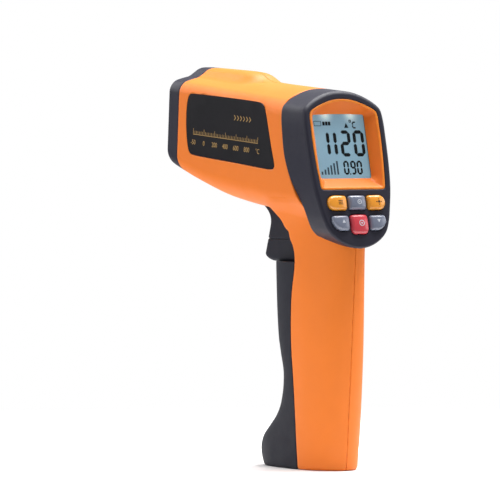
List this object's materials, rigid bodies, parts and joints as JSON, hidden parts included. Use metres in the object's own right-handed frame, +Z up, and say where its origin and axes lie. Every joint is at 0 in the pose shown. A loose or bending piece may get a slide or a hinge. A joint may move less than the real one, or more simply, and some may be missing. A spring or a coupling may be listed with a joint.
{
  "type": "infrared thermometer",
  "caption": "Pistol-grip infrared thermometer with a display head, key pad, trigger, sighting laser and a hinged battery grip.",
  "frame": {"origin": "centre of the flat base of the handle, on which the part stands", "axes": "+X points to the rear, where the display is; the nose points along -X; +Y is the right side; +Z is up"},
  "size_m": [0.1559, 0.0486, 0.2066],
  "materials": {
    "orange_shell": "fine moulded texture, satin",
    "black_shell": "fine moulded texture, satin",
    "black_grip": "soft-touch matte",
    "clear_plastic": "polished clear plastic",
    "display": "reflective liquid-crystal panel",
    "white_plastic": "diffusing",
    "circuit_board": "solder resist",
    "black_plastic": "moulded",
    "key_rubber": "matte",
    "label": "printed film",
    "lens": "coated infrared lens",
    "laser_glass": "polished",
    "tin": "satin",
    "brass": "satin",
    "steel": "plated",
    "battery_wrap": "printed metal jacket",
    "red_lead": "insulated wire",
    "black_lead": "insulated wire",
    "key_orange": "satin",
    "key_grey": "satin",
    "key_red": "satin"
  },
  "bodies": {
    "case": {"left_shell": "orange_shell", "right_shell": "orange_shell", "nose_collar": "black_shell", "rear_bezel": "black_shell", "display_frame": "orange_shell", "display_window": "clear_plastic", "lcd_panel": "display", "backlight": "white_plastic", "main_board": "circuit_board", "controller_chip": "black_plastic", "key_board": "circuit_board", "keypad_mat": "key_rubber", "buzzer": "black_plastic", "label_left": "label", "label_right": "label", "ir_lens": "lens", "lens_retainer": "black_plastic", "lens_barrel": "black_plastic", "sensor_can": "tin", "sensor_board": "circuit_board", "laser_module": "brass", "laser_window": "laser_glass", "trigger_pin": "steel", "trigger_spring": "steel", "trigger_switch": "black_plastic", "door_hinge_pin": "steel", "battery_9v": "battery_wrap", "battery_connector": "black_plastic", "battery_cradle": "black_plastic", "lead_red": "red_lead", "lead_black": "black_lead", "case_screw_1": "steel", "case_screw_2": "steel", "case_screw_3": "steel", "case_screw_4": "steel"},
    "trigger_lever": {"trigger": "black_grip"},
    "door": {"battery_door": "black_grip"},
    "set_key": {"key_set": "key_orange"},
    "mode_key": {"key_mode": "key_grey"},
    "laser_key": {"key_laser": "key_orange"},
    "up_key": {"key_up": "key_grey"},
    "scan_key": {"key_scan": "key_red"},
    "down_key": {"key_down": "key_grey"}
  },
  "joints": [
    {"name": "trigger_pull", "type": "hinge", "parent": "case", "child": "trigger_lever", "pos_m": [-0.022, 0, 0.1408], "axis": [0, -1, 0], "range_deg": [0, 8], "stiffness_Nm_per_rad": 0.4, "springref_deg": -8.59, "deforming": ["trigger_spring"]},
    {"name": "door_open", "type": "hinge", "parent": "case", "child": "door", "pos_m": [0.009, 0, 0.0027], "axis": [0, -1, 0], "range_deg": [0, 65]},
    {"name": "key_set_press", "type": "slide", "parent": "case", "child": "set_key", "axis": [-0.9703, 0, -0.2419], "range_m": [0, 0.0008], "stiffness_N_per_m": 600, "springref_m": -0.0008},
    {"name": "key_mode_press", "type": "slide", "parent": "case", "child": "mode_key", "axis": [-0.9703, 0, -0.2419], "range_m": [0, 0.0008], "stiffness_N_per_m": 600, "springref_m": -0.0008},
    {"name": "key_laser_press", "type": "slide", "parent": "case", "child": "laser_key", "axis": [-0.9703, 0, -0.2419], "range_m": [0, 0.0008], "stiffness_N_per_m": 600, "springref_m": -0.0008},
    {"name": "key_up_press", "type": "slide", "parent": "case", "child": "up_key", "axis": [-0.9703, 0, -0.2419], "range_m": [0, 0.0008], "stiffness_N_per_m": 600, "springref_m": -0.0008},
    {"name": "key_scan_press", "type": "slide", "parent": "case", "child": "scan_key", "axis": [-0.9703, 0, -0.2419], "range_m": [0, 0.0008], "stiffness_N_per_m": 600, "springref_m": -0.0008},
    {"name": "key_down_press", "type": "slide", "parent": "case", "child": "down_key", "axis": [-0.9703, 0, -0.2419], "range_m": [0, 0.0008], "stiffness_N_per_m": 600, "springref_m": -0.0008}
  ]
}
